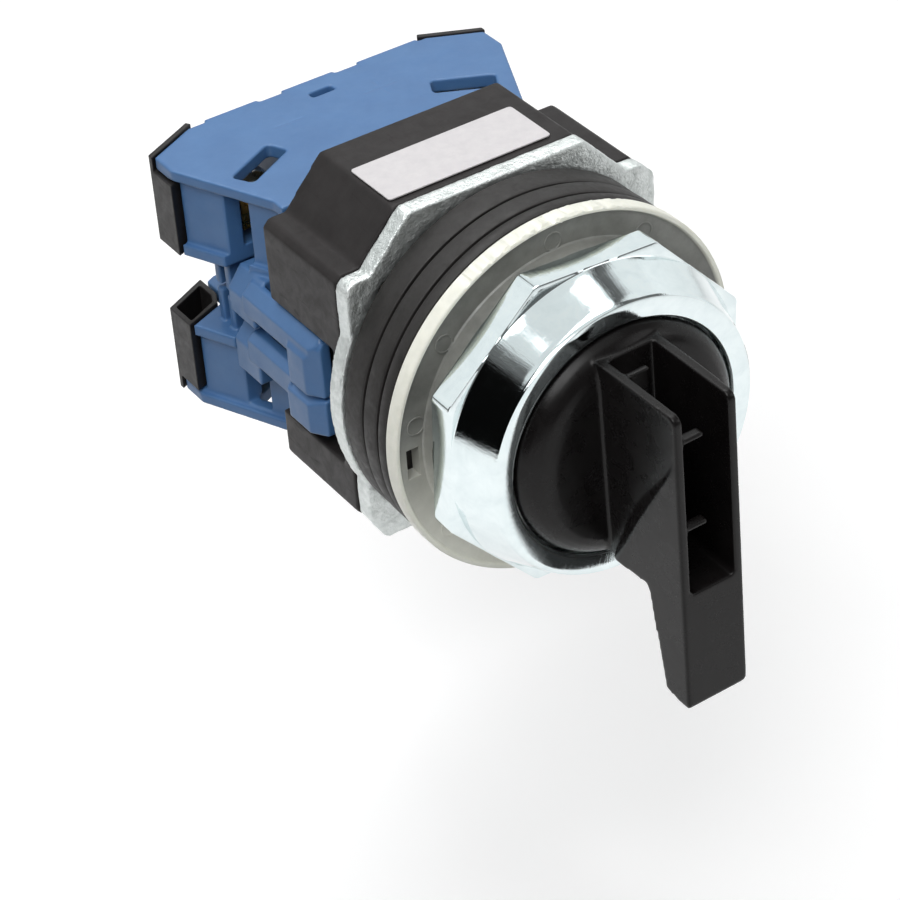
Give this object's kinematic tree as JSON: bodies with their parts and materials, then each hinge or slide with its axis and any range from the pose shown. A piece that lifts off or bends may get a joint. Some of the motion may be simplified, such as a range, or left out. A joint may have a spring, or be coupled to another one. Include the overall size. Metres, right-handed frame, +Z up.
{
  "type": "lever selector switch",
  "caption": "Panel-mount selector switch with a finger lever, ring nut, seal rings, black housing and clip-on contact blocks.",
  "frame": {"origin": "on the turning axis where the front ring meets the gasket stack, the seat of the panel", "axes": "+Y into the cabinet along the turning axis, +Z up towards the label, +X right seen from the operator's side"},
  "size_m": [0.0458, 0.0778, 0.0491],
  "materials": {
    "lever_plastic": "semi-gloss moulded black with fine scuffs",
    "housing_plastic": "moulded black, slightly dusty",
    "cover_plastic": "moulded black",
    "blue_plastic": "moulded blue, satin",
    "natural_plastic": "natural acetal",
    "washer_plastic": "thin translucent natural moulding",
    "clip_plastic": "white moulding, satin",
    "label_film": "blank printed-film label",
    "rubber": "moulded black rubber",
    "die_cast_zinc": "rough die-cast zinc alloy",
    "chrome": "bright plated with fine turning marks",
    "spring_steel": "drawn wire and spring strip",
    "screw_steel": "zinc plated",
    "brass": "plain, with plated contact points"
  },
  "bodies": {
    "operator": {"operator_body": "die_cast_zinc", "panel_gasket": "rubber", "spacer_ring_thin": "rubber", "spacer_ring_thick": "rubber", "housing": "housing_plastic", "housing_screw_left": "screw_steel", "housing_screw_right": "screw_steel", "rating_label": "label_film", "detent_spring_upper": "spring_steel", "detent_spring_lower": "spring_steel"},
    "lever": {"lever_handle": "lever_plastic", "operator_shaft": "lever_plastic", "shaft_seal_ring": "rubber", "shaft_circlip": "spring_steel", "cam_drum": "natural_plastic"},
    "washer": {"anti_rotation_washer": "washer_plastic"},
    "nut": {"ring_nut": "chrome"},
    "detent_upper": {"detent_pin_upper": "screw_steel"},
    "detent_lower": {"detent_pin_lower": "screw_steel"},
    "contacts": {"contact_block_upper": "blue_plastic", "contact_block_lower": "blue_plastic", "return_spring_upper": "spring_steel", "return_spring_lower": "spring_steel", "fixed_contact_upper_left": "brass", "fixed_contact_upper_right": "brass", "fixed_contact_lower_left": "brass", "fixed_contact_lower_right": "brass", "terminal_screw_upper_left": "screw_steel", "terminal_screw_upper_right": "screw_steel", "terminal_screw_lower_left": "screw_steel", "terminal_screw_lower_right": "screw_steel", "clamp_plate_upper_left": "screw_steel", "clamp_plate_upper_right": "screw_steel", "clamp_plate_lower_left": "screw_steel", "clamp_plate_lower_right": "screw_steel", "end_cover_upper_left": "cover_plastic", "end_cover_upper_right": "cover_plastic", "end_cover_lower_left": "cover_plastic", "end_cover_lower_right": "cover_plastic"},
    "plunger_upper": {"plunger_upper": "natural_plastic", "contact_bridge_upper": "brass", "contact_spring_upper": "spring_steel"},
    "plunger_lower": {"plunger_lower": "natural_plastic", "contact_bridge_lower": "brass", "contact_spring_lower": "spring_steel"},
    "clip": {"lock_clip": "clip_plastic"}
  },
  "joints": [
    {"name": "lever_turn", "type": "hinge", "parent": "operator", "child": "lever", "pos_m": [0, 0, 0], "axis": [0, 1, 0], "range_deg": [-45, 45]},
    {"name": "plunger_upper_slide", "type": "slide", "parent": "contacts", "child": "plunger_upper", "axis": [0, 1, 0], "range_m": [-0.00151, 0.00151], "deforming": ["return_spring_upper"]},
    {"name": "plunger_lower_slide", "type": "slide", "parent": "contacts", "child": "plunger_lower", "axis": [0, 1, 0], "range_m": [-0.00151, 0.00151], "deforming": ["return_spring_lower"]},
    {"name": "detent_upper_slide", "type": "slide", "parent": "operator", "child": "detent_upper", "axis": [0, 0, -1], "range_m": [0, 0.0005], "stiffness_N_per_m": 600, "deforming": ["detent_spring_upper"]},
    {"name": "detent_lower_slide", "type": "slide", "parent": "operator", "child": "detent_lower", "axis": [0, 0, 1], "range_m": [0, 0.0005], "stiffness_N_per_m": 600, "deforming": ["detent_spring_lower"]},
    {"name": "nut_turn", "type": "hinge", "parent": "washer", "child": "nut", "pos_m": [0, 0, 0], "axis": [0, 1, 0], "range_deg": [-1440, 0]},
    {"name": "washer_slide", "type": "slide", "parent": "operator", "child": "washer", "axis": [0, -1, 0], "range_m": [0, 0.00601]},
    {"name": "contacts_slide", "type": "slide", "parent": "operator", "child": "contacts", "axis": [0, 1, 0], "range_m": [0, 0.03]},
    {"name": "clip_slide", "type": "slide", "parent": "contacts", "child": "clip", "axis": [0, 1, 0], "range_m": [0, 0.025]}
  ],
  "couplings": [
    {"joint": "plunger_upper_slide", "follows": "lever_turn", "m_per_rad": 0.0019099},
    {"joint": "plunger_lower_slide", "follows": "lever_turn", "m_per_rad": -0.0019099},
    {"joint": "washer_slide", "follows": "nut_turn", "m_per_rad": -0.00023873}
  ]
}
